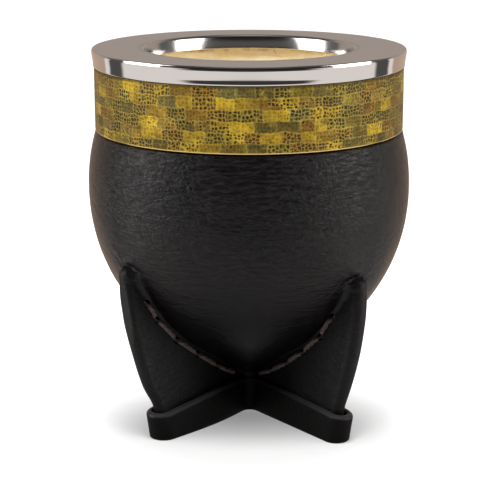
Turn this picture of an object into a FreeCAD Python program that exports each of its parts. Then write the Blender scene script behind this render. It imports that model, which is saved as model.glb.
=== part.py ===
"""Mate gourd: a calabash shell in a moulded leather cover, with a steel rim, a metal collar and a leather foot.

The cover is one piece of leather. It is pinched into four fins, each sewn shut with a waxed thread, and one
leather strap is bent round the lower ends of the fins, so that the cup stands on a cross-shaped foot.
Frame: +Z up, origin on the axis at the surface that the cup stands on, the front towards -Y. Millimetres.
"""
import FreeCAD, Part
import math
import os

import Sketcher

PARTS = "parts"

# Driving dimensions. Azimuths are degrees from the front (-Y), positive towards +X.
SIZES = {
    "cup_height": 101.0,
    # steel rim
    "rim_radius": 42.5,
    "rim_skirt_radius": 42.05,
    "rim_skirt_height": 4.9,
    "rim_flare_height": 2.6,
    "rim_rounding": 0.7,
    "rim_mouth_radius": 28.5,
    "rim_mouth_rounding": 0.6,
    "rim_throat_radius": 27.4,
    "rim_throat_height": 3.8,
    "rim_sheet": 0.8,
    # metal collar
    "collar_radius": 41.85,
    "collar_sheet": 1.0,
    "collar_height": 17.1,
    "collar_rounding": 0.6,
    # body of the leather cover
    "belly_radius": 44.0,
    "belly_level": 63.5,
    "belly_half_height": 48.7,
    "tail_level": 7.0,
    "tail_tip_radius": 1.0,
    "leather": 1.9,
    # calabash shell
    "shell_wall": 6.2,
    # fins pinched out of the cover
    "fin_ground_gap": 0.8,
    "foot_step": 0.1,
    "tip_sink": 1.2,
    "ankle_level": 9.4,
    "shin_level": 15.0,
    "calf_level": 23.0,
    "knee_level": 31.5,
    "crest_level": 39.5,
    "ankle_half": 2.0,
    "shin_half": 2.1,
    "calf_half": 2.2,
    "knee_half": 2.3,
    "crest_half": 2.3,
    "tip_half": 2.2,
    # leather strap round the four feet
    "strap_thickness": 1.75,
    "strap_gap": 0.12,
    "strap_height": 9.4,
    "strap_crown": 9.3,
    "strap_crown_radius": 350.0,
    "strap_inner_bend": 1.6,
    "foot_lean": 1.5,
    # saddle stitch
    "stitch_count": 5,
    "seam_offset": 2.0,
    "stitch_hole": 0.95,
    "thread_radius": 0.6,
    "thread_waist": 0.5,
    "thread_end": 0.7,
    "thread_ease": 0.1,
}

# What differs from fin to fin: the turn of its foot and of its tip, how far out its folded edge stands at each
# level, and where its row of stitches begins.
FIN_SIZES = ("foot", "top", "tip", "ankle", "shin", "calf", "knee", "crest", "first", "pitch")
FINS = {
    "front_left": (-39.2, -50.5, 46.5, 39.3, 42.0, 43.5, 44.5, 44.2, 39.2, 8.7),
    "front_right": (37.5, 45.0, 44.0, 40.6, 42.0, 43.4, 43.8, 42.9, 34.6, 8.1),
    "rear_right": (141.0, 135.0, 45.5, 40.2, 41.8, 43.3, 44.0, 43.4, 37.2, 8.4),
    "rear_left": (-140.0, -133.0, 45.0, 39.8, 41.9, 43.4, 44.2, 43.6, 38.0, 8.5),
}
for fin_name, values in FINS.items():
    for word, value in zip(FIN_SIZES, values):
        SIZES[f"{fin_name}_{word}"] = value

doc = FreeCAD.newDocument("mate_gourd")
sheet = doc.addObject("Spreadsheet::Sheet", "Sizes")
for row, (alias, value) in enumerate(SIZES.items(), start=1):
    sheet.set(f"A{row}", alias)
    sheet.set(f"B{row}", str(value))
    sheet.setAlias(f"B{row}", alias)
doc.recompute()


def size(alias):
    """A driving dimension, read from the sheet."""
    return float(sheet.get(alias))


def primitive(kind, name, **expressions):
    """A Part primitive whose properties are bound to expressions on the sheet."""
    made = doc.addObject(kind, name)
    for prop, expression in expressions.items():
        made.setExpression(prop.replace("__", "."), expression)
    return made


def cylinder(name, radius, height, level="0"):
    return primitive(
        "Part::Cylinder", name, Radius=radius, Height=height, Placement__Base__z=level
    )


def fuse(name, shapes):
    made = doc.addObject("Part::MultiFuse", name)
    made.Shapes = shapes
    return made


def cut(name, base, tool):
    made = doc.addObject("Part::Cut", name)
    made.Base, made.Tool = base, tool
    return made


def common(name, shapes):
    made = doc.addObject("Part::MultiCommon", name)
    made.Shapes = shapes
    return made


# ---- shells of revolution -----------------------------------------------------------------------------------


def egg(name, inset, top):
    """The gourd's form, moved in by inset: an ellipsoid with a tangent cone as its tail, cut off at top."""
    half = f"(Sizes.belly_half_height - {inset})"
    radius = f"(Sizes.belly_radius - {inset})"
    drop = f"(Sizes.belly_level - Sizes.tail_level - 1.2 * {inset})"  # belly to the cone's virtual apex
    touch = f"({half} ^ 2 / {drop})"  # belly level down to where the cone touches
    touch_radius = f"({radius} * sqrt(1 - ({half} / {drop}) ^ 2))"
    tip_share = f"(Sizes.tail_tip_radius / {touch_radius})"
    belly = primitive(
        "Part::Ellipsoid",
        name + "_belly",
        Radius1=half,
        Radius2=radius,
        Radius3=radius,
        Placement__Base__z="Sizes.belly_level",
    )
    tail = primitive(
        "Part::Cone",
        name + "_tail",
        Radius1="Sizes.tail_tip_radius",
        Radius2=touch_radius,
        Height=f"({drop} - {touch}) * (1 - {tip_share})",
        Placement__Base__z=f"Sizes.belly_level - {drop} + ({drop} - {touch}) * {tip_share}",
    )
    keep = cylinder(name + "_keep", "Sizes.belly_radius * 2", top)
    return common(name, [fuse(name + "_whole", [belly, tail]), keep])


COLLAR_TOP = "(Sizes.cup_height - Sizes.rim_skirt_height)"
COLLAR_FOOT = f"({COLLAR_TOP} - Sizes.collar_height)"
NECK_RADIUS = "(Sizes.collar_radius - Sizes.collar_sheet)"
PLATE_UNDERSIDE = "(Sizes.cup_height - Sizes.rim_sheet)"
MOUTH_OUTSIDE = "(Sizes.rim_mouth_radius + Sizes.rim_sheet)"

cover_egg = egg("cover_egg", "0", COLLAR_FOOT)
# The leather neck starts a sheet's thickness lower than the gourd's, so that it also joins a belly narrower
# than itself.
cover_neck = cylinder(
    "cover_neck",
    NECK_RADIUS,
    f"{PLATE_UNDERSIDE} - Sizes.belly_level + Sizes.leather",
    "Sizes.belly_level - Sizes.leather",
)
gourd_egg = egg("gourd_egg", "Sizes.leather", COLLAR_FOOT)
gourd_neck = cylinder(
    "gourd_neck",
    f"{NECK_RADIUS} - Sizes.leather",
    f"{PLATE_UNDERSIDE} - Sizes.belly_level",
    "Sizes.belly_level",
)
gourd_outside = fuse("gourd_outside", [gourd_egg, gourd_neck])

hollow_egg = egg("hollow_egg", "(Sizes.leather + Sizes.shell_wall)", "Sizes.cup_height")
hollow_mouth = cylinder(
    "hollow_mouth",
    MOUTH_OUTSIDE,
    "Sizes.cup_height - Sizes.belly_level",
    "Sizes.belly_level",
)
gourd = cut("gourd", gourd_outside, fuse("hollow", [hollow_egg, hollow_mouth]))
gourd.Label = "gourd_shell"


def turned_body(name, corners):
    """A PartDesign body turned about Z from a closed outline of (radius, level) expressions."""
    body = doc.addObject("PartDesign::Body", name)
    sketch = body.newObject("Sketcher::SketchObject", name + "_outline")
    plane = [f for f in body.Origin.OriginFeatures if f.Role == "XZ_Plane"][0]
    sketch.AttachmentSupport = [(plane, "")]
    sketch.MapMode = "FlatFace"
    values = [
        (
            sheet_value(f"{name}_r{i}", radius),
            sheet_value(f"{name}_z{i}", level),
        )
        for i, (radius, level) in enumerate(corners)
    ]
    count = len(corners)
    for i in range(count):
        start, end = values[i], values[(i + 1) % count]
        sketch.addGeometry(
            Part.LineSegment(
                FreeCAD.Vector(start[0], start[1], 0), FreeCAD.Vector(end[0], end[1], 0)
            )
        )
    for i in range(count):
        sketch.addConstraint(
            Sketcher.Constraint("Coincident", i, 2, (i + 1) % count, 1)
        )
    for i, (radius, level) in enumerate(corners):
        for kind, value, expression in (
            ("DistanceX", values[i][0], radius),
            ("DistanceY", values[i][1], level),
        ):
            index = sketch.addConstraint(
                Sketcher.Constraint(kind, -1, 1, i, 1, value)
            )
            sketch.setExpression(f"Constraints[{index}]", expression)
    turned = body.newObject("PartDesign::Revolution", name + "_turned")
    turned.Profile = sketch
    turned.ReferenceAxis = (sketch, ["V_Axis"])
    turned.Angle = 360.0
    doc.recompute()
    return body


def sheet_value(cell_alias, expression):
    """The number that an expression on the sheet gives, kept beside the driving dimensions."""
    row = len(SIZES) + 1 + sheet_value.count
    sheet_value.count += 1
    sheet.set(f"A{row}", cell_alias)
    sheet.set(f"B{row}", "=" + expression.replace("Sizes.", ""))
    sheet.recompute()
    return float(sheet.get(f"B{row}"))


sheet_value.count = 0


def round_edges(body, name, radius_expression, places):
    """Fillets the circular edges of a turned body that pass through the given (radius, level) places."""
    base = body.Tip
    names = []
    for radius, level in places:
        for i, edge in enumerate(base.Shape.Edges, start=1):
            at = edge.Vertexes[0].Point
            if (
                abs(math.hypot(at.x, at.y) - radius) < 1e-4
                and abs(at.z - level) < 1e-4
                and edge.Closed
            ):
                names.append(f"Edge{i}")
    if len(names) != len(places):
        raise RuntimeError(f"{name}: {len(names)} of {len(places)} edges found")
    made = body.newObject("PartDesign::Fillet", name)
    made.Base = (base, names)
    made.setExpression("Radius", radius_expression)
    doc.recompute()
    body.Tip = made
    return made


rim = turned_body(
    "steel_rim",
    [
        (NECK_RADIUS, COLLAR_TOP),
        ("Sizes.rim_skirt_radius", COLLAR_TOP),
        ("Sizes.rim_skirt_radius", "Sizes.cup_height - Sizes.rim_flare_height"),
        ("Sizes.rim_radius", "Sizes.cup_height - Sizes.rim_rounding"),
        ("Sizes.rim_radius - Sizes.rim_rounding", "Sizes.cup_height"),
        ("Sizes.rim_mouth_radius", "Sizes.cup_height"),
        ("Sizes.rim_throat_radius", "Sizes.cup_height - Sizes.rim_throat_height"),
        ("Sizes.rim_throat_radius + Sizes.rim_sheet", "Sizes.cup_height - Sizes.rim_throat_height"),
        (MOUTH_OUTSIDE, PLATE_UNDERSIDE),
        (NECK_RADIUS, PLATE_UNDERSIDE),
    ],
)
round_edges(
    rim,
    "rim_mouth_round",
    "Sizes.rim_mouth_rounding",
    [(size("rim_mouth_radius"), size("cup_height"))],
)
rim.Label = "steel_rim"

collar = turned_body(
    "metal_collar",
    [
        (NECK_RADIUS, COLLAR_FOOT),
        ("Sizes.collar_radius", COLLAR_FOOT),
        ("Sizes.collar_radius", COLLAR_TOP),
        (NECK_RADIUS, COLLAR_TOP),
    ],
)
round_edges(
    collar,
    "collar_foot_round",
    "Sizes.collar_rounding",
    [
        (
            size("collar_radius"),
            size("cup_height") - size("rim_skirt_height") - size("collar_height"),
        )
    ],
)
collar.Label = "metal_collar"


# ---- fins ---------------------------------------------------------------------------------------------------


def turn_of(corner, level):
    """Expression for a fin's turn from +X at a level: it twists steadily from its ankle to its tip."""
    foot, top = f"Sizes.{corner}_foot", f"Sizes.{corner}_top"
    share = f"(({level}) - Sizes.ankle_level) / (Sizes.{corner}_tip - Sizes.ankle_level)"
    return f"{foot} + ({top} - {foot}) * {share} - 90"


def slot(name, level, turn, reach, half):
    """A slot-shaped sketch on a level plane, from the axis out to reach in the direction of turn."""
    sketch = doc.addObject("Sketcher::SketchObject", name)
    width, centre = 2.0, 30.0
    vector = FreeCAD.Vector
    corners = [vector(0, -width), vector(centre, -width), vector(centre, width), vector(0, width)]
    for start, end in ((0, 1), (2, 3), (3, 0)):
        sketch.addGeometry(Part.LineSegment(corners[start], corners[end]))
    circle = Part.Circle(vector(centre, 0), vector(0, 0, 1), width)
    sketch.addGeometry(Part.ArcOfCircle(circle, -math.pi / 2, math.pi / 2))
    lower, upper, back, end = range(4)
    for rule in (
        ("Coincident", upper, 2, back, 1),
        ("Coincident", back, 2, lower, 1),
        ("Tangent", lower, 2, end, 1),
        ("Tangent", upper, 1, end, 2),
        ("Vertical", back),
        ("Horizontal", lower),
        ("PointOnObject", end, 3, -1),
        ("PointOnObject", lower, 1, -2),
    ):
        sketch.addConstraint(Sketcher.Constraint(*rule))
    index = sketch.addConstraint(Sketcher.Constraint("Radius", end, width))
    sketch.setExpression(f"Constraints[{index}]", half)
    index = sketch.addConstraint(Sketcher.Constraint("DistanceX", -1, 1, end, 3, centre))
    sketch.setExpression(f"Constraints[{index}]", f"{reach} - {half}")
    sketch.Placement = FreeCAD.Placement(vector(0, 0, 1), FreeCAD.Rotation(vector(0, 0, 1), 1))
    sketch.setExpression("Placement.Base.z", level)
    sketch.setExpression("Placement.Rotation.Angle", turn)
    return sketch


def loft(name, sections):
    made = doc.addObject("Part::Loft", name)
    made.Sections = sections
    made.Solid = True
    made.Ruled = len(sections) == 2
    return made


def arm(name, corner, half, spare, bottom, top):
    """A straight arm under a fin, whose round end leans out by foot_lean over the strap's height."""
    turn = f"Sizes.{corner}_foot - 90"
    sections = []
    for i, level in enumerate((bottom, top)):
        lean = f"Sizes.foot_lean * (Sizes.strap_height - ({level})) / Sizes.strap_height"
        reach = f"(Sizes.{corner}_ankle + {spare} - {lean})"
        sections.append(slot(f"{name}_{i}", level, turn, reach, half))
    return loft(name, sections)


def fin(corner):
    """One fin: a straight foot inside the strap, and above it a lofted web that turns and leans to its tip."""
    tip_level = f"Sizes.{corner}_tip"
    drop = f"((Sizes.belly_level - {tip_level}) / Sizes.belly_half_height)"
    stations = [
        (f"Sizes.{word}_level", f"Sizes.{corner}_{word}", f"Sizes.{word}_half")
        for word in ("ankle", "shin", "calf", "knee", "crest")
    ]
    stations.append(
        (tip_level, f"(Sizes.belly_radius * sqrt(1 - {drop} ^ 2) - Sizes.tip_sink)", "Sizes.tip_half")
    )
    sections = [
        slot(f"{corner}_section_{i}", level, turn_of(corner, level), reach, half)
        for i, (level, reach, half) in enumerate(stations)
    ]
    web = loft(corner + "_web", sections)
    foot = arm(
        corner + "_foot_arm",
        corner,
        "(Sizes.ankle_half - Sizes.foot_step)",
        "(-Sizes.foot_step)",
        "Sizes.fin_ground_gap",
        "(Sizes.ankle_level + 3 * Sizes.foot_step)",
    )
    return fuse(corner + "_fin", [web, foot])


fins = [fin(corner) for corner in FINS]


# ---- seams --------------------------------------------------------------------------------------------------


def cover_radius(level):
    """Radius of the cover's egg at a level: the ellipse above, its tangent cone below."""
    belly, half = size("belly_level"), size("belly_half_height")
    drop = belly - size("tail_level")
    touch = half**2 / drop
    if belly - level < touch:
        return size("belly_radius") * math.sqrt(1 - ((belly - level) / half) ** 2)
    slope = size("belly_radius") * math.sqrt(1 - (half / drop) ** 2) / (drop - touch)
    return (level - size("tail_level")) * slope


def seam_point(corner, level):
    """A point of a fin's seam, which runs beside the egg at seam_offset, and the fin's sideways direction."""
    step = 0.01
    radius = cover_radius(level)
    lean = (cover_radius(level + step) - radius) / step
    across = math.hypot(1, lean)
    out, down = size("seam_offset") / across, size("seam_offset") * lean / across
    level_out, reach = level - down, radius + out
    share = (level_out - size("ankle_level")) / (
        size(corner + "_tip") - size("ankle_level")
    )
    foot, top = size(corner + "_foot"), size(corner + "_top")
    turn = math.radians(foot + (top - foot) * share - 90)
    point = FreeCAD.Vector(reach * math.cos(turn), reach * math.sin(turn), level_out)
    return point, FreeCAD.Vector(-math.sin(turn), math.cos(turn), 0)


def half_at(level):
    """Half the thickness of a fin at a level, read between the stations of its loft."""
    stations = [(size(word + "_level"), size(word + "_half")) for word in ("ankle", "shin", "calf", "knee", "crest")]
    for (low, low_half), (high, high_half) in zip(stations, stations[1:]):
        if level <= high:
            return low_half + (high_half - low_half) * (level - low) / (high - low)
    return stations[-1][1]


def seam_points(corner):
    """The stitch holes of one fin, a pitch apart down the seam from the first."""
    count, pitch = int(size("stitch_count")), size(corner + "_pitch")
    level = size(corner + "_first")
    points = [seam_point(corner, level)]
    step = 0.02
    while len(points) < count:
        level -= step
        candidate = seam_point(corner, level)
        if (candidate[0] - points[-1][0]).Length >= pitch:
            points.append(candidate)
    return points


holes = []
for corner in FINS:
    for i, (point, sideways) in enumerate(seam_points(corner)):
        hole = primitive(
            "Part::Cylinder",
            f"{corner}_hole_{i}",
            Radius="Sizes.stitch_hole",
            Height="2 * Sizes.crest_half + 2 * Sizes.thread_radius",
        )
        half_length = size("crest_half") + size("thread_radius")
        hole.Placement = FreeCAD.Placement(
            point - sideways * half_length,
            FreeCAD.Rotation(FreeCAD.Vector(0, 0, 1), sideways),
        )
        holes.append(hole)

cover_outside = fuse("cover_outside", [cover_egg, cover_neck, *fins])
cover_hollow = fuse("cover_hollow", [gourd_outside, *holes])
cover = cut("cover", cover_outside, cover_hollow)
cover.Label = "leather_cover"


def rail(points, radius, spare):
    """A thread of one radius laid through a row of points, and a little past both ends."""
    first = points[0] + (points[0] - points[1]).normalize() * spare
    last = points[-1] + (points[-1] - points[-2]).normalize() * spare
    path = [first, *points[1:-1], last]
    profile = Part.Wire(Part.makeCircle(radius, first, path[1] - first))
    return Part.Wire(Part.makePolygon(path)).makePipeShell([profile], True, False, 1)


def thread(corner):
    """The sewn thread of one fin: a rail of stitches along both faces, joined through every hole."""
    radius, waist = size("thread_radius"), size("thread_waist")
    near, far = [], []
    for point, sideways in seam_points(corner):
        offset = half_at(point.z) + radius + size("thread_ease")
        near.append(point - sideways * offset)
        far.append(point + sideways * offset)
    rungs = [
        Part.makeCylinder(waist, (end - start).Length, start, end - start)
        for start, end in zip(near, far)
    ]
    rails = [rail(side, radius, size("thread_end")) for side in (near, far)]
    made = doc.addObject("Part::Feature", corner + "_sewn")
    made.Shape = rails[0].fuse([rails[1], *rungs])
    made.Label = "thread_" + corner
    return made


threads = [thread(corner) for corner in FINS]


# ---- strap round the feet -----------------------------------------------------------------------------------


def cross_prism(name, half, spare, bottom, top, bend):
    """Four arms joined at the axis, with their inner corners rounded by bend."""
    arms = [arm(f"{name}_{corner}", corner, half, spare, bottom, top) for corner in FINS]
    cross = fuse(name + "_arms", arms)
    doc.recompute()
    middle = size("front_left_ankle") / 2
    edges = []
    for i, edge in enumerate(cross.Shape.Edges, start=1):
        ends = [v.Point for v in edge.Vertexes]
        if len(ends) == 2 and abs(ends[0].z - ends[1].z) > 1.0:
            if max(math.hypot(p.x, p.y) for p in ends) < middle:
                edges.append(i)
    if len(edges) != len(FINS):
        raise RuntimeError(f"{name}: {len(edges)} inner corners found")
    made = doc.addObject("Part::Fillet", name)
    made.Base = cross
    made.Edges = [(i, bend, bend) for i in edges]
    return made


STRAP_INSIDE = "(Sizes.ankle_half + Sizes.strap_gap)"
STRAP_OUTSIDE = f"({STRAP_INSIDE} + Sizes.strap_thickness)"
strap_outline = cross_prism(
    "strap_outline",
    STRAP_OUTSIDE,
    "Sizes.strap_gap + Sizes.strap_thickness",
    "0",
    "Sizes.strap_height",
    size("strap_inner_bend"),
)
strap_inside = cross_prism(
    "strap_inside",
    STRAP_INSIDE,
    "Sizes.strap_gap",
    "-1",
    "Sizes.strap_height + 1",
    size("strap_inner_bend") + size("strap_thickness"),
)
strap_crown = primitive(
    "Part::Sphere",
    "strap_crown",
    Radius="Sizes.strap_crown_radius",
    Placement__Base__z="Sizes.strap_crown - Sizes.strap_crown_radius",
)
strap = cut("strap", common("strap_crowned", [strap_outline, strap_crown]), strap_inside)
strap.Label = "foot_strap"

doc.recompute()


# ---- checks and export --------------------------------------------------------------------------------------

for made in doc.Objects:
    if "Invalid" in made.State or "Error" in made.State:
        raise RuntimeError(f"{made.Name} failed: {made.State}")

os.makedirs(PARTS, exist_ok=True)
for made in (gourd, cover, rim, collar, strap, *threads):
    shape = made.Shape
    if shape.isNull() or not shape.isValid() or not shape.Solids:
        raise RuntimeError(f"{made.Label}: its shape is null, invalid or has no solid")
    print(f"{made.Label:22s} solids {len(shape.Solids)}  volume {shape.Volume:10.1f} mm3")
    shape.exportStep(os.path.join(PARTS, made.Label + ".step"))
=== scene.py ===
# %% [markdown]
# # A mate gourd in a leather coat
# A mate gourd is a dried calabash with its top cut off. This one wears a coat of wet-moulded black leather,
# pinched into four fins that are sewn shut and serve as legs. A leather strap is bent round the feet of the
# fins. A metal collar and a polished steel rim finish the mouth. The lesson makes each of those pieces in turn.
# Lengths are written in millimetres and become metres when a mesh is finished.

import math

import bmesh
import bpy
from mathutils import Matrix, Vector, noise


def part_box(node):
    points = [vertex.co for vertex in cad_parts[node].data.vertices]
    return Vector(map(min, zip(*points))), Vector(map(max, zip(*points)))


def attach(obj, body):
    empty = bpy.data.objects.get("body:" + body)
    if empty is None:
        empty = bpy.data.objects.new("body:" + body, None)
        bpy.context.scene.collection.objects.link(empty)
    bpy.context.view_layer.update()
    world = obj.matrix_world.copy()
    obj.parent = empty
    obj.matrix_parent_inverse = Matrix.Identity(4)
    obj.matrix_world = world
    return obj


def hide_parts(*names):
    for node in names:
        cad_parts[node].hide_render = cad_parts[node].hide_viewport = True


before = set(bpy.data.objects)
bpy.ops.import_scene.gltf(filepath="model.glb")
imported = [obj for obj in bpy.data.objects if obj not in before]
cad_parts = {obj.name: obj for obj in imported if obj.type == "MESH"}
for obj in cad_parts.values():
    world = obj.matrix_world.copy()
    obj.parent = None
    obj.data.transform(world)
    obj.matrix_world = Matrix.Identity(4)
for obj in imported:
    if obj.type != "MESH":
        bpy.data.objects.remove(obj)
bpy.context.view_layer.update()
MM = 0.001
TURN = 2 * math.pi
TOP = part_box("steel_rim")[1].z / MM
COLLAR_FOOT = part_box("metal_collar")[0].z / MM
COLLAR_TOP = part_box("metal_collar")[1].z / MM
print("cup height", round(TOP, 2), "mm, collar from", round(COLLAR_FOOT, 2), "to", round(COLLAR_TOP, 2))

# %% [markdown]
# ## Shader sums as Python sums
# A finish is a network of nodes. Adding them one by one hides the idea, so a small class wraps a socket and
# turns `a * b + 1` into Math nodes. Everything that isn't a sum goes through one method, `Finish.node`.


# %% A socket that can be added, multiplied and compared
class Value:
    def __init__(self, finish, socket):
        self.finish, self.socket = finish, socket

    def sum(self, operation, *others):
        made = self.finish.tree.nodes.new("ShaderNodeMath")
        made.operation = operation
        for place, item in zip(made.inputs, others):
            self.finish.plug(item, place)
        return Value(self.finish, made.outputs[0])

    def __add__(self, other):
        return self.sum("ADD", self, other)

    def __radd__(self, other):
        return self.sum("ADD", other, self)

    def __sub__(self, other):
        return self.sum("SUBTRACT", self, other)

    def __rsub__(self, other):
        return self.sum("SUBTRACT", other, self)

    def __mul__(self, other):
        return self.sum("MULTIPLY", self, other)

    def __rmul__(self, other):
        return self.sum("MULTIPLY", other, self)

    def __truediv__(self, other):
        return self.sum("DIVIDE", self, other)

    def __rtruediv__(self, other):
        return self.sum("DIVIDE", other, self)

    def __pow__(self, other):
        return self.sum("POWER", self, other)

    def __gt__(self, other):
        return self.sum("GREATER_THAN", self, other)

    def __lt__(self, other):
        return self.sum("LESS_THAN", self, other)

    def least(self, other):
        return self.sum("MINIMUM", self, other)

    def most(self, other):
        return self.sum("MAXIMUM", self, other)

    def floor(self):
        return self.sum("FLOOR", self)

    def fraction(self):
        return self.sum("FRACT", self)

    def size(self):
        return self.sum("ABSOLUTE", self)

    def rise(self, start, end):
        """0 below start, 1 above end, and a smooth step between them."""
        made = self.finish.node(
            "MapRange",
            {"interpolation_type": "SMOOTHSTEP"},
            {"Value": self, "From Min": start, "From Max": end},
        )
        return made["Result"]


def away(parts):
    """Distance from the cup's axis, from the parts of a place."""
    return (parts["X"] * parts["X"] + parts["Y"] * parts["Y"]) ** 0.5


# %% A finish: one material and its network, or the world's network when its tree is given
class Finish:
    def __init__(self, name, tree=None, **sockets):
        if tree is None:
            self.material = bpy.data.materials.new(name)
            self.material.use_nodes = True
            tree = self.material.node_tree
            self.shader = tree.nodes["Principled BSDF"]
        self.name, self.tree = name, tree
        for socket, value in sockets.items():
            self.set(socket.replace("_", " "), value)

    def plug(self, item, place):
        if isinstance(item, Value):
            self.tree.links.new(item.socket, place)
        else:
            place.default_value = item

    def set(self, socket, item):
        self.plug(item, self.shader.inputs[socket])

    def node(self, kind, settings=None, sockets=None):
        """Adds a node: its settings first, then its sockets' values or links. Gives its outputs by name."""
        made = self.tree.nodes.new("ShaderNode" + kind)
        for name, value in (settings or {}).items():
            if name == "stops":
                ramp = made.color_ramp
                while len(ramp.elements) < len(value):
                    ramp.elements.new(0.5)
                for element, (place, color) in zip(ramp.elements, value):
                    element.position = place
                    element.color = (*color, 1.0)
            elif name == "steps":
                made.color_ramp.interpolation = value
            else:
                setattr(made, name, value)
        for name, value in (sockets or {}).items():
            self.plug(value, made.inputs[name])
        return {o.name: Value(self, o) for o in made.outputs if o.enabled}

    def place(self, scale=(1000.0, 1000.0, 1000.0), turn=(0.0, 0.0, 0.0)):
        """Object coordinates in millimetres, stretched by scale."""
        spot = self.node("TexCoord")["Object"]
        mapped = self.node("Mapping", {}, {"Vector": spot, "Scale": scale, "Rotation": turn})
        return mapped["Vector"]

    def noise(self, where, scale, detail=3.0, roughness=0.55, **more):
        sockets = {"Vector": where, "Scale": scale, "Detail": detail, "Roughness": roughness}
        sockets.update(more)
        return self.node("TexNoise", {}, sockets)["Fac"]

    def parts(self, where):
        return self.node("SeparateXYZ", {}, {"Vector": where})

    def blend(self, share, first, second):
        """A colour mixed from two others."""
        made = self.tree.nodes.new("ShaderNodeMix")
        made.data_type = "RGBA"
        for item, index in ((share, 0), (first, 6), (second, 7)):
            if not isinstance(item, Value) and index > 0:
                item = (*item, 1.0)
            self.plug(item, made.inputs[index])
        return Value(self, made.outputs[2])

    def relief(self, height, depth):
        """Bump of a real depth in millimetres."""
        return self.node("Bump", {}, {"Height": height, "Distance": depth * MM})["Normal"]

    def tell(self):
        print(f"{self.name}: {len(self.tree.nodes)} nodes")


# %% [markdown]
# ## From bmesh to a finished piece
# Every piece ends the same way: doubles merged, faces turned outwards, scaled to metres, given its finish,
# and the CAD node it stands for hidden.


# %% Finish a piece
def finish_piece(name, form, finish, slot, *stands_for, sharp=50, tidy=True):
    if tidy:
        bmesh.ops.remove_doubles(form, verts=form.verts, dist=0.002)
        bmesh.ops.recalc_face_normals(form, faces=form.faces)
    bmesh.ops.scale(form, vec=(MM, MM, MM), verts=form.verts)
    mesh = bpy.data.meshes.new(name)
    form.to_mesh(mesh)
    form.free()
    mesh.materials.append(finish.material)
    mesh.shade_smooth()
    mesh.set_sharp_from_angle(angle=math.radians(sharp))
    piece = bpy.data.objects.new(name, mesh)
    bpy.context.scene.collection.objects.link(piece)
    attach(piece, "root")
    if stands_for:
        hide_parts(*stands_for)
    mesh.calc_loop_triangles()
    print(f"{name}: {len(mesh.loop_triangles)} triangles")
    return piece


# %% Turn an outline of (radius, level) corners about the cup's axis
def turned(outline, steps):
    form = bmesh.new()
    corners = [form.verts.new((radius, 0, level)) for radius, level in outline]
    edges = [form.edges.new(pair) for pair in zip(corners, corners[1:] + corners[:1])]
    bmesh.ops.spin(
        form,
        geom=corners + edges,
        cent=(0, 0, 0),
        axis=(0, 0, 1),
        angle=TURN,
        steps=steps,
        use_merge=True,
    )
    bmesh.ops.remove_doubles(form, verts=form.verts, dist=0.001)
    return form


def round_ring(form, radius, level, width, segments):
    """Bevels the ring of edges of a turned form that passes through one (radius, level) corner."""
    ring = [
        edge
        for edge in form.edges
        if all(
            abs(math.hypot(v.co.x, v.co.y) - radius) < 1e-3 and abs(v.co.z - level) < 1e-3
            for v in edge.verts
        )
    ]
    bmesh.ops.bevel(
        form, geom=ring, affect="EDGES", offset=width, segments=segments, profile=0.5, material=-1
    )


# %% [markdown]
# ## The steel rim
# The rim is one pressing of stainless steel: a flat ring, a skirt that flares slightly to a rolled edge, and
# a short lip that dips into the mouth. It is a turned shape, so an outline is spun and its rings are bevelled.
# Its flat face is satin and its skirt is a mirror. The two meet at the roll, so the finish reads the level.

# %% Steel finish
steel = Finish("polished_steel", Metallic=1.0, Base_Color=(0.66, 0.635, 0.61, 1.0))
spot = steel.parts(steel.node("TexCoord")["Object"])
reach = away(spot) * 1000
on_top = spot["Z"].rise((TOP - 0.09) * MM, (TOP - 0.02) * MM)
smear = steel.noise(steel.place(), 0.09, 3.0)
rings = steel.noise(steel.node("CombineXYZ", {}, {"X": reach})["Vector"], 3.2, 2.0)
funnel = (1 - reach.rise(29.6, 30.4)) * 0.09
steel.set("Roughness", 0.05 + funnel + on_top * (0.16 + smear * 0.08) + (1 - on_top) * smear * 0.03)
steel.set("Normal", steel.relief(rings * on_top + smear * 0.6, 0.012))
steel.tell()

# %% The rim itself: its outline as (radius, level) corners, from the skirt's foot up and round into the mouth
SEAT = 40.9
SKIRT_FOOT = COLLAR_TOP + 0.02
rim_outline = [
    (SEAT, SKIRT_FOOT),
    (42.05, SKIRT_FOOT),
    (42.06, TOP - 3.7),
    (42.09, TOP - 3.4),
    (42.15, TOP - 2.95),
    (42.43, TOP - 1.1),
    (42.48, TOP - 0.75),
    (42.3, TOP - 0.02),
    (41.7, TOP),
    (41.3, TOP),
    (29.8, TOP),
    (28.5, TOP),
    (27.42, TOP - 3.8),
    (28.2, TOP - 3.8),
    (29.3, TOP - 0.8),
    (SEAT, TOP - 0.8),
]
rim = turned(rim_outline, 288)
for radius, level, width, segments in (
    (28.5, TOP, 0.75, 6),
    (42.05, SKIRT_FOOT, 0.5, 6),
    (42.48, TOP - 0.75, 0.5, 8),
    (42.3, TOP - 0.02, 0.28, 8),
    (27.42, TOP - 3.8, 0.2, 3),
):
    round_ring(rim, radius, level, width, segments)
finish_piece("rim", rim, steel, "polished_steel", "steel_rim", sharp=40)

# %% [markdown]
# ## The collar
# The collar is a metal band, mottled in small blocks of gold, olive, ochre and grey-green, with a pattern of
# round cells in thin pale webs. The pattern follows the band, so the band gets a UV map in millimetres: along
# it, and up it. Rows are cut by rounding the height; in each row a one-dimensional Voronoi cuts blocks of
# uneven length and gives each its own random colour.

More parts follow.
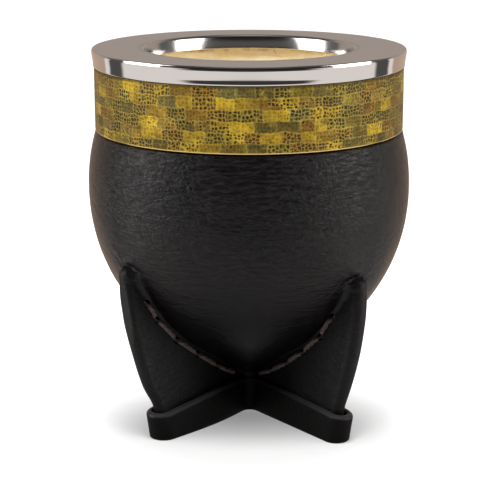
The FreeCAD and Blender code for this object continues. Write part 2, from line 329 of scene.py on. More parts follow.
# %% The band's own map, a little wavy so that no row runs dead straight
gold = Finish("mottled_metal", Coat_Weight=0.03, Coat_Roughness=0.2)
gold.set("Specular IOR Level", 0.1)
here = gold.node("UVMap", {"uv_map": "band"})["UV"]
wobble = gold.node("TexNoise", {}, {"Vector": here, "Scale": 0.35, "Detail": 2.0})["Color"]
drift = gold.node("VectorMath", {"operation": "SUBTRACT"}, {0: wobble, 1: (0.5, 0.5, 0.5)})["Vector"]
drift = gold.node("VectorMath", {"operation": "SCALE"}, {0: drift, "Scale": 1.5})["Vector"]
moved = gold.node("VectorMath", {"operation": "ADD"}, {0: here, 1: drift})["Vector"]
wavy = gold.parts(moved)
ROW_TALL = 2.85


# %% Rows of blocks, each with dice of its own
def blocks(wide, seed):
    """Three random numbers for each block, and 0 in the joints between blocks."""
    up = wavy["Y"] / ROW_TALL + seed
    walk = {"W": wavy["X"] / wide + up.floor() * 17.37 + seed, "Scale": 1.0}
    one = gold.node("TexVoronoi", {"voronoi_dimensions": "1D", "feature": "F1"}, walk)
    edge = gold.node("TexVoronoi", {"voronoi_dimensions": "1D", "feature": "DISTANCE_TO_EDGE"}, walk)
    seam = (edge["Distance"] * wide).rise(0.12, 0.32)
    bed = 1 - ((up.fraction() - 0.5).size() * 2).rise(1 - 0.5 / ROW_TALL, 1 - 0.12 / ROW_TALL)
    return gold.node("SeparateColor", {}, {"Color": one["Color"]}), seam.least(bed)


dice, joint = blocks(5.2, 0.0)
fine_dice, _ = blocks(2.6, 5.5)

# %% Colours of the blocks, then clouds and stains that pay no heed to them
ramp = gold.node(
    "ValToRGB",
    {
        "steps": "CONSTANT",
        "stops": [
            (0.0, (0.36, 0.225, 0.008)),
            (0.14, (0.10, 0.078, 0.007)),
            (0.27, (0.18, 0.092, 0.005)),
            (0.40, (0.52, 0.34, 0.016)),
            (0.50, (0.026, 0.028, 0.009)),
            (0.60, (0.20, 0.115, 0.022)),
            (0.69, (0.09, 0.093, 0.035)),
            (0.77, (0.13, 0.043, 0.003)),
            (0.89, (0.15, 0.115, 0.013)),
        ],
    },
    {"Fac": dice["Red"]},
)["Color"]
tint = gold.node(
    "ValToRGB",
    {
        "steps": "LINEAR",
        "stops": [(0.0, (0.035, 0.027, 0.006)), (0.5, (0.17, 0.11, 0.011)), (1.0, (0.36, 0.26, 0.05))],
    },
    {"Fac": fine_dice["Green"]},
)["Color"]
cloud = gold.noise(here, 0.55, 5.0, 0.7)
stain = gold.noise(here, 0.42, 5.0, 0.75)
shade = gold.noise(here, 0.11, 2.0, 0.5)
color = gold.blend(0.18, ramp, tint)
color = gold.blend(cloud.rise(0.35, 0.75) * 0.3, color, (0.19, 0.125, 0.016))
color = gold.blend(stain.rise(0.48, 0.66) * 0.6, color, (0.042, 0.036, 0.006))
color = gold.blend((1 - stain.rise(0.34, 0.48)) * 0.4, color, (0.50, 0.36, 0.05))
color = gold.blend(shade.rise(0.40, 0.60) * 0.5, color, (0.055, 0.031, 0.004))
gold.tell()

# %% Round dark cells in pale webs, boldest where a block is marked
spread = {"Vector": moved, "Scale": 1.05, "Randomness": 0.6}
cells = gold.node("TexVoronoi", {"voronoi_dimensions": "2D", "feature": "F1"}, spread)
web = gold.node("TexVoronoi", {"voronoi_dimensions": "2D", "feature": "DISTANCE_TO_EDGE"}, spread)["Distance"]
patch = gold.noise(here, 0.17, 2.0, 0.5)
marked = (dice["Green"] * 0.75 + patch * 0.75) > 0.72
dot_dice = gold.node("SeparateColor", {}, {"Color": cells["Color"]})["Red"]
dot = 1 - cells["Distance"].rise(0.26, 0.44)
ink = dot * (0.14 + dot_dice * 0.34 + marked * (0.44 + dot_dice * 0.34))
webbing = (1 - web.rise(0.02, 0.12)) * (0.10 + marked * 0.30)
speck = gold.noise(here, 3.5, 2.0, 0.6)
color = gold.blend(ink, color, (0.010, 0.009, 0.002))
color = gold.blend(webbing, color, (0.44, 0.30, 0.055))
color = gold.blend((1 - joint) * 0.18, color, (0.44, 0.31, 0.07))
color = gold.blend(speck.rise(0.4, 0.8) * 0.12, color, (0.50, 0.38, 0.12))
gold.tell()

# %% A bright bead at the foot, a shadowed line under the rim, and the band's gloss
level = gold.parts(here)["Y"]
bead = 1 - level.rise(0.35, 0.65)
shadow = level.rise(COLLAR_TOP - COLLAR_FOOT - 0.75, COLLAR_TOP - COLLAR_FOOT - 0.25)
color = gold.blend(shadow * 0.7, color, (0.05, 0.03, 0.004))
color = gold.blend(bead, color, (0.80, 0.56, 0.20))
gold.set("Base Color", color)
gold.set("Metallic", 0.25 + bead * 0.75)
gold.set("Roughness", (0.42 - dot * 0.08 + speck * 0.1) * (1 - bead * 0.55))
pressed = web.rise(0.0, 0.25) * -0.6 + joint * 0.3 + speck * 0.25
gold.set("Normal", gold.relief(pressed * (1 - bead), 0.05))
gold.tell()

# %% The collar itself
BAND = 41.84
band = turned([(SEAT, COLLAR_FOOT), (BAND, COLLAR_FOOT), (BAND, COLLAR_TOP), (SEAT, COLLAR_TOP)], 288)
round_ring(band, BAND, COLLAR_FOOT, 0.6, 5)
band_map = band.loops.layers.uv.new("band")
for face in band.faces:
    middle = face.calc_center_median()
    base = math.atan2(middle.x, -middle.y)
    for loop in face.loops:
        turn = math.atan2(loop.vert.co.x, -loop.vert.co.y)
        turn += TURN * round((base - turn) / TURN)
        loop[band_map].uv = (turn * BAND, loop.vert.co.z - COLLAR_FOOT)
finish_piece("collar", band, gold, "mottled_metal", "metal_collar", sharp=40)

# %% [markdown]
# ## The calabash
# Under the leather is the dried fruit. Only the wall of its mouth and hollow shows: pale cream, matt, faintly
# fibrous, with a painted shadow in a ragged brown line where it meets the steel. It is one turned outline, made
# uneven.

# %% Calabash finish
gourd = Finish("calabash", Roughness=0.75)
gourd.set("Specular IOR Level", 0.3)
flesh = gourd.noise(gourd.place((1000, 1000, 420)), 0.16, 4.0, 0.6)
fibre = gourd.noise(gourd.place((1000, 1000, 260)), 0.9, 3.0, 0.6)
ragged = gourd.noise(gourd.place((1000, 1000, 700)), 0.32, 4.0, 0.65)
fleck = gourd.noise(gourd.place((1000, 1000, 600)), 0.55, 2.0, 0.5).rise(0.68, 0.74)
# A ragged brown band just under the steel: a painted shadow of the lip
painted_lip_shadow = (gourd.parts(gourd.place())["Z"] + ragged * 3.4).rise(97.8, 99.2)
cream = gourd.blend(flesh.rise(0.3, 0.75), (0.90, 0.76, 0.48), (0.97, 0.90, 0.72))
cream = gourd.blend(painted_lip_shadow * 0.75, cream, (0.45, 0.27, 0.13))
cream = gourd.blend(fleck * 0.45, cream, (0.50, 0.31, 0.14))
gourd.set("Base Color", cream)
gourd.set("Normal", gourd.relief(fibre + flesh * 2, 0.15))
gourd.tell()


# %% The egg-shaped outline that the gourd and its coat share
def egg_radius(level, inset=0.0):
    """Radius at a level: an ellipse, and below it the cone that touches it and ends in the tail."""
    belly, half, tail = 63.5, 48.7 - inset, 7.0 + 1.2 * inset
    radius = 44.0 - inset
    drop = belly - tail
    touch = half * half / drop
    if belly - level < touch:
        return radius * math.sqrt(max(0.0, 1 - ((belly - level) / half) ** 2))
    slope = radius * math.sqrt(1 - (half / drop) ** 2) / (drop - touch)
    return max(0.0, (level - tail) * slope)


print("egg radius at its belly", egg_radius(63.5), "mm, at the collar", round(egg_radius(COLLAR_FOOT), 2), "mm")

# %% The calabash itself: up its outside, over the mouth and down its hollow
outside = [(0.0, 9.6)] + [(egg_radius(z, 2.0), float(z)) for z in range(13, 79, 3)]
outside += [(38.85, COLLAR_FOOT), (38.85, TOP - 1.0)]
inside = [(29.6, TOP - 1.0), (29.5, 94.0), (29.8, 88.5)]
inside += [(min(30.4 + (88.5 - z) * 0.9, egg_radius(z, 8.3)), float(z)) for z in range(86, 22, -4)]
inside += [(0.0, 22.5)]
shell = turned(outside + inside, 128)
for vertex in shell.verts:
    place = vertex.co * 0.11
    out = Vector((vertex.co.x, vertex.co.y, 0)).normalized()
    if math.hypot(vertex.co.x, vertex.co.y) < 37 and vertex.co.z > 23:
        vertex.co += out * noise.noise(place) * 0.35
finish_piece("calabash_shell", shell, gourd, "calabash", "gourd_shell")

# %% [markdown]
# ## The leather coat
# The real coat starts as one sheet of wet leather, and so does this one: a flat grid is rolled into a tube,
# and each of its rows is laid round one level of the gourd. Some columns of the grid follow the round body
# and the others fold out into the fins. Extruding fins from a sphere would leave hard seams at their roots;
# a rolled sheet lets the body run into each fin in one smooth surface, as moulded leather does.

# %% The four fins: turns in degrees from the front, edge radii by level, stitch holes as (reach, level)
FINS = {
    "front_left": {
        "foot": -39.2,
        "top": -50.5,
        "tip": 46.6,
        "edge": [(0.8, 38.0), (9.4, 39.5), (15, 41.9), (23, 43.5), (31.5, 44.6), (39.5, 44.5), (43.5, 43.9)],
        "holes": [(38.6, 37.0), (36.1, 32.0), (30.2, 25.4), (23.2, 20.0), (15.9, 14.9), (8.0, 10.6)],
    },
    "front_right": {
        "foot": 37.5,
        "top": 45.0,
        "tip": 44.2,
        "edge": [(0.8, 39.2), (9.4, 40.6), (15, 42.0), (23, 43.4), (31.5, 43.9), (38.0, 43.6), (41.5, 43.0)],
        "holes": [(35.2, 33.2), (31.4, 26.9), (25.2, 21.2), (19.0, 16.5), (12.6, 12.8), (6.6, 10.0)],
    },
    "rear_right": {
        "foot": 141.0,
        "top": 135.0,
        "tip": 45.6,
        "edge": [(0.8, 38.8), (9.4, 40.2), (15, 41.8), (23, 43.3), (31.5, 44.0), (39.5, 43.8), (42.8, 43.3)],
        "holes": [(38.3, 35.8), (34.0, 29.2), (27.9, 23.2), (20.9, 17.9), (13.8, 13.4)],
    },
    "rear_left": {
        "foot": 220.0,
        "top": 227.0,
        "tip": 45.1,
        "edge": [(0.8, 38.4), (9.4, 39.8), (15, 41.9), (23, 43.4), (31.5, 44.2), (39.0, 44.0), (42.4, 43.4)],
        "holes": [(38.9, 36.6), (34.7, 29.9), (28.6, 23.7), (21.6, 18.4), (14.4, 13.8)],
    },
}
ANKLE = 9.4
print("fins:", ", ".join(f"{name} {len(fin['holes'])} holes" for name, fin in FINS.items()))


# %% Read a smooth curve at a level, and with it where a fin is there
def along(points, at):
    """A smooth curve through (level, value) points, read at a level."""
    if at <= points[0][0]:
        return points[0][1]
    if at >= points[-1][0]:
        return points[-1][1]
    i = max(k for k in range(len(points) - 1) if points[k][0] <= at)

    def slope(k):
        low, high = max(k - 1, 0), min(k + 1, len(points) - 1)
        return (points[high][1] - points[low][1]) / (points[high][0] - points[low][0])

    (x0, y0), (x1, y1) = points[i], points[i + 1]
    wide = x1 - x0
    t = (at - x0) / wide
    return (
        (2 * t**3 - 3 * t**2 + 1) * y0
        + (t**3 - 2 * t**2 + t) * wide * slope(i)
        + (3 * t**2 - 2 * t**3) * y1
        + (t**3 - t**2) * wide * slope(i + 1)
    )


def fin_turn(fin, level):
    share = min(max((level - ANKLE) / (fin["tip"] - ANKLE), 0.0), 1.0)
    return math.radians(fin["foot"] + (fin["top"] - fin["foot"]) * share)


def fin_edge(fin, level):
    """Radius of a fin's folded edge. Above its last point it turns in over a blunt nose."""
    last_level, last = fin["edge"][-1]
    if level <= last_level:
        return along(fin["edge"], level)
    share = (level - last_level) / (fin["tip"] - last_level)
    body = egg_radius(fin["tip"])
    if share >= 1:
        return 0.0
    return body - 0.6 + (last - body + 0.6) * math.sqrt(1 - share * share)


# %% Body radius at any level, from under the pole to inside the collar
NECK = 40.86


def body_radius(level):
    if level > COLLAR_FOOT - 0.9:
        share = min(1.0, (level - COLLAR_FOOT + 0.9) / 0.9)
        return egg_radius(COLLAR_FOOT - 0.9) * (1 - share**3) + NECK * share**3
    bare = egg_radius(level)
    return (bare**3 + 4.0**3) ** (1 / 3)


print("body radius by level:", {level: round(body_radius(level), 1) for level in (10, 20, 40, 60, 78)})

# %% One side of a fin cut level: half a round fold, a flat flank and a soft root, as (level, millimetres)
FOLD_HALF = [(0.8, 1.98), (9.4, 2.0), (15, 2.15), (25, 2.35), (40, 2.45), (48, 2.3)]
ROOT_ROUND = [(0.8, 0.3), (10, 0.5), (20, 0.9), (34, 1.5), (44, 2.6)]


def half_section(fin, level, squeeze=1.0):
    """Measures of one side of a fin at a level, for `section_point`."""
    body = body_radius(level) if squeeze > 0 else 0.001
    cap = along(FOLD_HALF, level) * squeeze
    waist = cap - 0.05 * squeeze
    root = along(ROOT_ROUND, level) * squeeze
    edge = fin_edge(fin, level)
    middle = edge - cap
    base_turn = math.asin(min(0.98, (waist + root) / body)) if squeeze > 0 else 0.0
    base = body * math.cos(base_turn) if squeeze > 0 else 0.0
    if middle > base:
        return {"body": body, "cap": cap, "waist": waist, "root": root, "middle": middle, "base": base,
                "base_turn": base_turn, "flank": middle - base, "cap_turn": math.pi / 2}
    if edge > body:
        lean = (middle**2 + body**2 - cap**2) / (2 * middle * body) if middle > 0 else 1.0
        base_turn = math.acos(min(1.0, lean))
        x, y = body * math.cos(base_turn) - middle, body * math.sin(base_turn)
        return {"body": body, "cap": cap, "middle": middle, "base_turn": base_turn, "flank": 0.0,
                "cap_turn": math.atan2(y, x)}
    return {"body": body, "cap": 0.0, "middle": body, "base_turn": 0.0, "flank": 0.0, "cap_turn": 0.0}


def section_point(shape, walked):
    """The point, as (reach, sideways), that lies a walked distance from a fin's fold along its side."""
    cap_length = shape["cap"] * shape["cap_turn"]
    if walked < cap_length:
        turn = walked / shape["cap"]
        return shape["middle"] + shape["cap"] * math.cos(turn), shape["cap"] * math.sin(turn)
    walked -= cap_length
    if walked < shape["flank"]:
        reach = shape["middle"] - walked
        dish = min(1.0, walked / 5.0)
        side = shape["cap"] + (shape["waist"] - shape["cap"]) * dish * dish * (3 - 2 * dish)
        left = shape["flank"] - walked
        if left < shape["root"]:
            side += shape["root"] - math.sqrt(shape["root"] ** 2 - (shape["root"] - left) ** 2)
        return reach, side
    turn = shape["base_turn"] + (walked - shape["flank"]) / shape["body"]
    return shape["body"] * math.cos(turn), shape["body"] * math.sin(turn)


# %% Columns of the sheet: where each one lies between the middle of a gap and the fold of a fin
ARC_COLUMNS, FLANK_COLUMNS, CAP_COLUMNS = 26, 36, 6
SIDE = ARC_COLUMNS + FLANK_COLUMNS + CAP_COLUMNS
names = list(FINS)
tops = [FINS[name]["top"] for name in names]
gaps = [(tops[i - 1] - (360 if i == 0 else 0) + tops[i]) / 2 for i in range(4)]
gaps.append(gaps[0] + 360)


def side_walks(shape, fin, level, gap):
    """Walked distances of one side's columns, from the fold back to the middle of the gap."""
    cap_length = shape["cap"] * shape["cap_turn"]
    spread = 3.5 + max(0.0, level - fin["tip"] + 4.0) * 0.32
    arc = max(0.0, abs(gap - fin_turn(fin, level)) - shape["base_turn"]) * shape["body"]
    cap_part = max(cap_length, 2.6 if level > ANKLE else cap_length)
    total = cap_length + shape["flank"] + arc
    flank_part = max(cap_length + shape["flank"] - cap_part, min(spread, total * 0.3))
    walks = [cap_part * i / CAP_COLUMNS for i in range(CAP_COLUMNS)]
    walks += [cap_part + flank_part * (1 - (1 - i / FLANK_COLUMNS) ** 1.25) for i in range(FLANK_COLUMNS)]
    rest = total - cap_part - flank_part
    walks += [cap_part + flank_part + rest * i / ARC_COLUMNS for i in range(ARC_COLUMNS + 1)]
    return walks


def section(level, squeeze=1.0):
    """One row of the sheet: points round the gourd at a level, from the rear gap on round the front."""
    row = []
    for i, name in enumerate(names):
        fin = FINS[name]
        turn = fin_turn(fin, level)
        shape = half_section(fin, level, squeeze)
        for side, gap in ((-1, math.radians(gaps[i])), (1, math.radians(gaps[i + 1]))):
            points = []
            for walked in side_walks(shape, fin, level, gap):
                reach, sideways = section_point(shape, walked)
                angle = turn + side * math.atan2(sideways, reach)
                far = math.hypot(reach, sideways)
                points.append((far * math.sin(angle), -far * math.cos(angle)))
            if side < 0:
                points.reverse()
            row += points[:-1]
    row.append(row[0])
    return row


# %% Levels of the rows, closer together where the fins end; a squeeze under 1 closes the underside
levels = [(0.8, 0.0), (0.84, 0.45), (1.0, 0.78), (1.35, 1.0)]
level = 2.2
while level < COLLAR_FOOT - 1.0:
    levels.append((level, 1.0))
    level += 0.4 if 40.5 < level < 49.5 else (0.8 if level < 56 else 1.4)
levels += [(COLLAR_FOOT - d, 1.0) for d in (0.9, 0.6, 0.35, 0.15, 0.0)]
levels += [(COLLAR_FOOT + d, 1.0) for d in (3.0, 9.0, 15.0)] + [(TOP - 0.82, 1.0)]
LINING = 38.9
lining = [(TOP - 0.82, LINING), (90.0, LINING), (COLLAR_FOOT, LINING)]
lining += [(float(z), egg_radius(z, 1.95)) for z in range(75, 12, -6)] + [(9.4, 0.0)]

# A column for each place on both sides of the four fins
columns = 8 * SIDE
rows = len(levels) + len(lining)
print(columns, "columns,", rows, "rows")

# %% Roll the sheet round the gourd
coat = bmesh.new()
bmesh.ops.create_grid(coat, x_segments=columns, y_segments=rows - 1, size=0.5)
laid = [section(level, squeeze) for level, squeeze in levels]
neck_row = [Vector(point).normalized() for point in laid[-1]]
for vertex in coat.verts:
    i = round((vertex.co.x + 0.5) * columns)
    j = round((vertex.co.y + 0.5) * (rows - 1))
    if j < len(levels):
        x, y = laid[j][i]
        vertex.co = (x, y, levels[j][0])
    else:
        height, radius = lining[j - len(levels)]
        way = neck_row[i] * radius
        vertex.co = (way.x, way.y, height)
bmesh.ops.remove_doubles(coat, verts=coat.verts, dist=0.004)
bmesh.ops.recalc_face_normals(coat, faces=coat.faces)
print("coat:", len(coat.verts), "points")


# %% Puckers at the tips, and the slow unevenness of moulded leather
def tip_relief(point):
    """How far the leather stands out or in, near the tips of the fins."""
    moved = 0.0
    for fin in FINS.values():
        turn = math.radians(fin["top"])
        ahead = Vector((math.sin(turn), -math.cos(turn)))
        sideways = Vector((math.cos(turn), math.sin(turn)))
        flat = point.xy
        if flat.dot(ahead) < 25:
            continue
        u, v = flat.dot(sideways), point.z - fin["tip"]
        if abs(u) > 16 or abs(v) > 16:
            continue
        crease_level = 0.35 - 0.035 * u * u + 0.5 * noise.noise(Vector((u * 0.4, turn, 0)))
        crease = math.exp(-(((v - crease_level) / 0.55) ** 2)) * math.exp(-((u / 4.2) ** 2))
        knob = math.exp(-(((v + 1.3) / 1.1) ** 2)) * math.exp(-((u / 2.6) ** 2))
        swell = math.exp(-(((v - 2.4) / 1.6) ** 2)) * math.exp(-((u / 5.0) ** 2))
        far = math.hypot(u, v)
        rays = math.sin(9 * math.atan2(v + 1, u) + 3 * noise.noise(Vector((u, v, turn)) * 0.25))
        moved += -0.42 * crease + 0.12 * knob + 0.2 * swell + 0.07 * rays * math.exp(-(((far - 4) / 3) ** 2))
    return moved


# %% Mark the fins for the finish, then move the leather, never past the widest part of the cup
WIDEST = 43.96
coat.normal_update()
on_fin = coat.verts.layers.float.new("on_fin")
for vertex in coat.verts:
    if vertex.co.z < 46:
        beyond = vertex.co.xy.length - body_radius(max(vertex.co.z, 9.0))
        vertex[on_fin] = min(1.0, max(0.0, beyond / 2.5))
shifts = []
for vertex in coat.verts:
    point = vertex.co
    if point.z > COLLAR_FOOT - 1 or point.xy.length < 3:
        continue
    slow = noise.noise(point * 0.055) * 0.10 + noise.noise(point * 0.16) * 0.05
    if point.z < 12:
        slow *= max(0.0, (point.z - 10) / 2)
    shifts.append((vertex, vertex.normal * (slow + tip_relief(point))))
for vertex, shift in shifts:
    vertex.co += shift
    reach = vertex.co.xy.length
    if reach > WIDEST:
        vertex.co.xy *= WIDEST / reach
print("uneven leather:", len(shifts), "points moved")

# %% [markdown]
# ### Leather finish
# Black vegetable-tanned leather: almost black, a little warm, satin. Close up it has a fine grain, and the
# moulding has drawn it into short, nearly level creases on the upper body. Both are relief, because their
# colour hardly differs.


# %% Leather, for the cover or for the strap
def leather_finish(name, color, rough, strap=False):
    hide = Finish(name)
    hide.set("Specular IOR Level", 0.13 if strap else 0.24)
    if strap:
        grain = hide.noise(hide.place((1000, 1000, 700)), 0.95, 4.0, 0.7)
        coarse = hide.noise(hide.place((700, 700, 1000), (0.4, 0.5, 0.2)), 0.55, 4.0, 0.7, Distortion=1.2)
        height = grain * 0.7 + coarse
        depth = 0.2
    else:
        pores = hide.node("TexVoronoi", {"feature": "F1"}, {"Vector": hide.place(), "Scale": 0.9})["Distance"]
        creases = hide.noise(hide.place((480, 480, 1500)), 0.66, 4.0, 0.62, Distortion=1.1)
        folds = hide.noise(hide.place((260, 260, 1300)), 0.2, 3.0, 0.55, Distortion=1.2)
        upper = hide.parts(hide.place())["Z"].rise(36, 66) * 0.55 + 0.45
        grain = hide.noise(hide.place(), 0.85, 4.0, 0.7)
        height = pores * 0.2 + grain * 0.35 + creases * upper * 2.0 + folds * upper * 1.6
        depth = 0.25
    patches = hide.noise(hide.place(), 0.07, 4.0, 0.6)
    scuffs = hide.noise(hide.place((1000, 1000, 330)), 0.55, 5.0, 0.7).rise(0.62, 0.8)
    tone = hide.blend(patches.rise(0.3, 0.7), color, tuple(c * 1.45 for c in color))
    tone = hide.blend(scuffs * 0.3, tone, tuple(c * 2.6 for c in color))
    roughness = rough - 0.08 + patches * 0.1 + grain * 0.06
    if strap:
        # Burnished top edge: glossier, with smoother grain, and a lighter colour that is a painted highlight
        burnish = hide.node("Attribute", {"attribute_name": "burnish"})["Fac"]
        tone = hide.blend(burnish * 0.8, tone, (0.02, 0.018, 0.019))
        roughness = roughness - burnish * 0.22
        height = height * (1 - burnish * 0.8)
    else:
        fin = hide.node("Attribute", {"attribute_name": "on_fin"})["Fac"]
        roughness = roughness + fin * 0.24
    hide.set("Base Color", tone)
    hide.set("Roughness", roughness)
    hide.set("Normal", hide.relief(height, depth))
    hide.tell()
    return hide


cover_leather = leather_finish("cover_leather", (0.0019, 0.0016, 0.0016), 0.25)
coat_piece = finish_piece(
    "leather_coat", coat, cover_leather, "cover_leather", "leather_cover", sharp=60, tidy=False
)

# %% [markdown]
# ### Stitch holes
# The awl goes straight through both layers of a fin. Cutting the holes as real holes gives them dark depths
# and crisp mouths, so a row of cutters is taken from the coat with a Boolean.


# %% Punch the holes
def fin_frame(fin, level):
    turn = fin_turn(fin, level)
    return Vector((math.sin(turn), -math.cos(turn), 0)), Vector((math.cos(turn), math.sin(turn), 0))


def hole_places(fin):
    found = []
    for reach, level in fin["holes"]:
        ahead, sideways = fin_frame(fin, level)
        found.append((ahead * reach + Vector((0, 0, level)), sideways))
    return found


HOLE = 0.95
cutters = bmesh.new()
for fin in FINS.values():
    for point, sideways in hole_places(fin):
        turn = Vector((0, 0, 1)).rotation_difference(sideways).to_matrix().to_4x4()
        bmesh.ops.create_cone(
            cutters,
            cap_ends=True,
            segments=20,
            radius1=HOLE,
            radius2=HOLE,
            depth=9.0,
            matrix=Matrix.Translation(point) @ turn,
        )
bmesh.ops.scale(cutters, vec=(MM, MM, MM), verts=cutters.verts)
cutter_mesh = bpy.data.meshes.new("cutters")
cutters.to_mesh(cutter_mesh)
cutters.free()
cutter_mesh.materials.append(cover_leather.material)
cutter = bpy.data.objects.new("cutters", cutter_mesh)
bpy.context.scene.collection.objects.link(cutter)
punch = coat_piece.modifiers.new("punch", "BOOLEAN")
punch.operation = "DIFFERENCE"
punch.object = cutter
punch.solver = "EXACT"
bpy.context.view_layer.update()
punched = bpy.data.meshes.new_from_object(coat_piece.evaluated_get(bpy.context.evaluated_depsgraph_get()))
coat_piece.modifiers.clear()
print("before", len(coat_piece.data.polygons), "faces, after", len(punched.polygons))
coat_piece.data = punched
bpy.data.objects.remove(cutter)

# %% [markdown]
# ## The thread
# Dark brown waxed thread runs along both faces of a fin, dipping into every hole. It is three strands laid
# together, so each stitch is three thin tubes that wind round one another between two holes.

# %% Thread finish
thread = Finish("waxed_thread", Roughness=0.55)
twist = thread.noise(thread.place(), 2.6, 3.0, 0.7)
thread.set("Base Color", thread.blend(twist, (0.013, 0.009, 0.0078), (0.085, 0.058, 0.046)))
thread.set("Normal", thread.relief(twist, 0.12))
thread.tell()


# %% Wind one stitch
def half_thickness(fin, reach, level):
    shape = half_section(fin, level)
    return section_point(shape, shape["cap"] * shape["cap_turn"] + max(0.01, shape["middle"] - reach))[1]


STRANDS, STRAND_RADIUS, STRAND_OFFSET, LIFT, TWIST_LENGTH = 3, 0.34, 0.33, 0.6, 6.2


def stitch_spline(curve, start, end, outward, spin):
    """One strand of one stitch: it rises out of a hole, crosses to the next and dives into it."""
    steps = 22
    way = end - start
    length = way.length
    forward = way.normalized()
    across = forward.cross(outward).normalized()
    spline = curve.splines.new("NURBS")
    spline.points.add(steps)
    for i in range(steps + 1):
        t = i / steps
        rise = min(1.0, max(0.0, min(t, 1 - t) * length - 0.45) / 1.5)
        rise = math.sin(rise * math.pi / 2)
        height = LIFT * rise - 1.7 * (1 - rise)
        pinch = 0.42 + 0.58 * math.sin(math.pi * t) ** 0.7
        phase = spin + t * length / TWIST_LENGTH * TURN
        offset = (across * math.cos(phase) * 1.05 + outward * math.sin(phase) * 0.8) * STRAND_OFFSET * pinch
        place = start + way * t + outward * height + offset
        spline.points[i].co = (*(place * MM), 1.0)
        spline.points[i].radius = 0.85 + 0.15 * pinch
    spline.order_u = 4
    spline.use_endpoint_u = True


# %% Sew a fin on both faces, then make the strands a mesh
def sew(name, fin):
    curve = bpy.data.curves.new(name, "CURVE")
    curve.dimensions = "3D"
    curve.bevel_depth = STRAND_RADIUS * MM
    curve.bevel_resolution = 1
    curve.resolution_u = 2
    curve.use_fill_caps = True
    for side in (-1, 1):
        mouths = []
        for (point, sideways), (reach, level) in zip(hole_places(fin), fin["holes"]):
            outward = sideways * side
            mouths.append((point + outward * half_thickness(fin, reach, level), outward))
        for (start, out_a), (end, out_b) in zip(mouths, mouths[1:]):
            outward = (out_a + out_b).normalized()
            for strand in range(STRANDS):
                stitch_spline(curve, start, end, outward, strand * TURN / STRANDS)
        for mouth, outward in mouths:
            spline = curve.splines.new("POLY")
            spline.points.add(1)
            spline.points[0].co = (*((mouth - outward * 0.5) * MM), 1.0)
            spline.points[1].co = (*((mouth - outward * 2.2) * MM), 1.0)
    holder = bpy.data.objects.new(name, curve)
    bpy.context.scene.collection.objects.link(holder)
    bpy.context.view_layer.update()
    mesh = bpy.data.meshes.new_from_object(holder.evaluated_get(bpy.context.evaluated_depsgraph_get()))
    bpy.data.objects.remove(holder)
    form = bmesh.new()
    form.from_mesh(mesh)
    bmesh.ops.scale(form, vec=(1 / MM, 1 / MM, 1 / MM), verts=form.verts)
    finish_piece(f"thread_{name}_sewn", form, thread, "waxed_thread", f"thread_{name}", tidy=False)


for name, fin in FINS.items():
    sew(name, fin)

# %% [markdown]
# ## The strap round the feet
# One strip of thick leather stands on edge and follows the four feet, bent round each end and into each gap.
# Its outline is a cross of straight runs. Bevelling the corners bends them, extruding stands the strip up,
# solidify gives it its thickness, and more bevels round its edges. The maker has burnished the upper edge,
# and its lighter colour there is a painted highlight.

# %% Outline of the strap: a tip at each foot, a crotch in each gap
STRAP_HALF, STRAP_THICK, STRAP_TALL = 3.84, 1.7, 8.0
outline = bmesh.new()
tips, crotches = [], []
feet = [(math.radians(fin["foot"]), fin["edge"][0][1] + 0.14 + STRAP_THICK) for fin in FINS.values()]
for i, (turn, reach) in enumerate(feet):
    ahead = Vector((math.sin(turn), -math.cos(turn), 0))
    sideways = Vector((math.cos(turn), math.sin(turn), 0))
    for side in (-1, 1):
        tips.append(outline.verts.new(ahead * reach + sideways * side * STRAP_HALF))
    next_turn = feet[(i + 1) % 4][0] + (TURN if i == 3 else 0)
    middle = (turn + next_turn) / 2
    depth = STRAP_HALF / math.sin((next_turn - turn) / 2)
    crotches.append(outline.verts.new((depth * math.sin(middle), -depth * math.cos(middle), 0)))
ring = []
for i in range(4):
    ring += [tips[2 * i], tips[2 * i + 1], crotches[i]]
for pair in zip(ring, ring[1:] + ring[:1]):
    outline.edges.new(pair)
bend = {"affect": "VERTICES", "profile": 0.5, "material": -1}
bmesh.ops.bevel(outline, geom=tips, offset=STRAP_HALF * 0.999, segments=14, **bend)
bmesh.ops.remove_doubles(outline, verts=outline.verts, dist=0.05)
crotches = [v for v in outline.verts if v.co.length < 9.0]
bmesh.ops.bevel(outline, geom=crotches, offset=3.2, segments=8, **bend)
long_edges = [edge for edge in outline.edges if edge.calc_length() > 10]
bmesh.ops.subdivide_edges(outline, edges=long_edges, cuts=26)
print("strap outline:", len(outline.verts), "points")

# %% Stand it up and give it its thickness
strap = outline
wall = bmesh.ops.extrude_edge_only(strap, edges=strap.edges[:])["geom"]
bmesh.ops.translate(strap, vec=(0, 0, STRAP_TALL), verts=[g for g in wall if isinstance(g, bmesh.types.BMVert)])
bmesh.ops.recalc_face_normals(strap, faces=strap.faces)
outermost = max(strap.faces, key=lambda face: face.calc_center_median().xy.length)
if outermost.normal.dot(outermost.calc_center_median()) < 0:
    bmesh.ops.reverse_faces(strap, faces=strap.faces)
outer = set(strap.faces)
bmesh.ops.solidify(strap, geom=strap.faces[:], thickness=STRAP_THICK)
print("strap wall:", len(strap.faces), "faces")

# %% Round its edges, keeping its outer face to tell outer edges from inner ones
strap.normal_update()


def edge_ring(level, outward):
    found = []
    for edge in strap.edges:
        if not all(abs(v.co.z - level) < 0.01 for v in edge.verts) or len(edge.link_faces) != 2:
            continue
        upright = [face for face in edge.link_faces if abs(face.normal.z) < 0.3]
        if len(upright) == 1 and (upright[0] in outer) == outward:
            found.append(edge)
    return found


